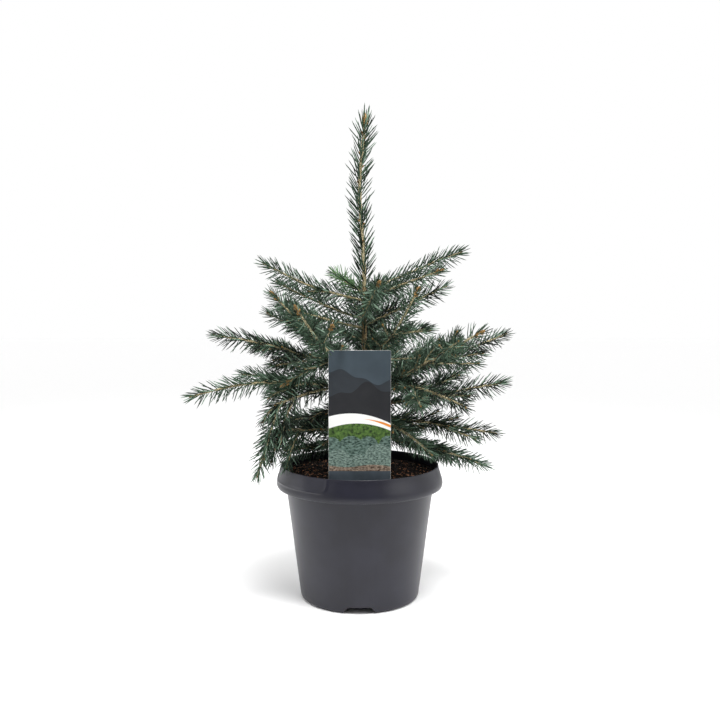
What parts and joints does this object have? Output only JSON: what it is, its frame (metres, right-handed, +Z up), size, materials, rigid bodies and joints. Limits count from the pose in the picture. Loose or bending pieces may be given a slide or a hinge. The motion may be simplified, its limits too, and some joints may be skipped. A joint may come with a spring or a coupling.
{
  "type": "potted blue spruce",
  "caption": "Young blue spruce with a tall leader and whorls of short-needled boughs, growing in a round plastic nursery pot with a care card pushed into the potting mix.",
  "frame": {"origin": "on the ground under the middle of the plant, which is the pot's axis", "axes": "+Z up the trunk; the front of the pot, with the care card and one foot notch, faces -Y"},
  "size_m": [0.4497, 0.3194, 0.673],
  "materials": {
    "pot_plastic": "moulded anthracite polypropylene with a soft satin skin",
    "potting_mix": "loose damp peat and composted bark",
    "card_plastic": "printed plastic sheet",
    "trunk_bark": "thin scaly grey-brown bark",
    "twig_bark": "smooth tan bark with needle pegs",
    "needles": "stiff needles with a grey-blue wax bloom"
  },
  "bodies": {
    "root": {"bough_back": "twig_bark", "bough_back_left": "twig_bark", "bough_back_right": "twig_bark", "bough_front_left": "twig_bark", "bough_front_right": "twig_bark", "bough_left_arching": "twig_bark", "bough_left_long": "twig_bark", "bough_low_back": "twig_bark", "bough_low_back_left": "twig_bark", "bough_low_front_right": "twig_bark", "bough_low_left_inside": "twig_bark", "bough_low_left_level": "twig_bark", "bough_low_left_under": "twig_bark", "bough_low_right": "twig_bark", "bough_low_right_hanging": "twig_bark", "bough_low_right_level": "twig_bark", "bough_low_right_weeping": "twig_bark", "bough_right_long": "twig_bark", "bough_right_strong": "twig_bark", "care_card": "card_plastic", "needles_back": "needles", "needles_back_left": "needles", "needles_back_right": "needles", "needles_front_left": "needles", "needles_front_right": "needles", "needles_high_back": "needles", "needles_high_back_left": "needles", "needles_high_back_right": "needles", "needles_high_left": "needles", "needles_high_right": "needles", "needles_high_right_inside": "needles", "needles_leader": "needles", "needles_left_arching": "needles", "needles_left_long": "needles", "needles_low_back": "needles", "needles_low_back_left": "needles", "needles_low_front_left": "needles", "needles_low_front_right": "needles", "needles_low_left_hanging": "needles", "needles_low_left_inside": "needles", "needles_low_left_level": "needles", "needles_low_left_under": "needles", "needles_low_right": "needles", "needles_low_right_hanging": "needles", "needles_low_right_level": "needles", "needles_low_right_weeping": "needles", "needles_right_long": "needles", "needles_right_strong": "needles", "needles_top_back_left": "needles", "needles_top_back_right": "needles", "needles_top_front": "needles", "needles_top_front_right": "needles", "needles_top_left": "needles", "needles_top_right": "needles", "pot": "pot_plastic", "potting_mix": "potting_mix", "trunk": "trunk_bark"}
  },
  "joints": []
}
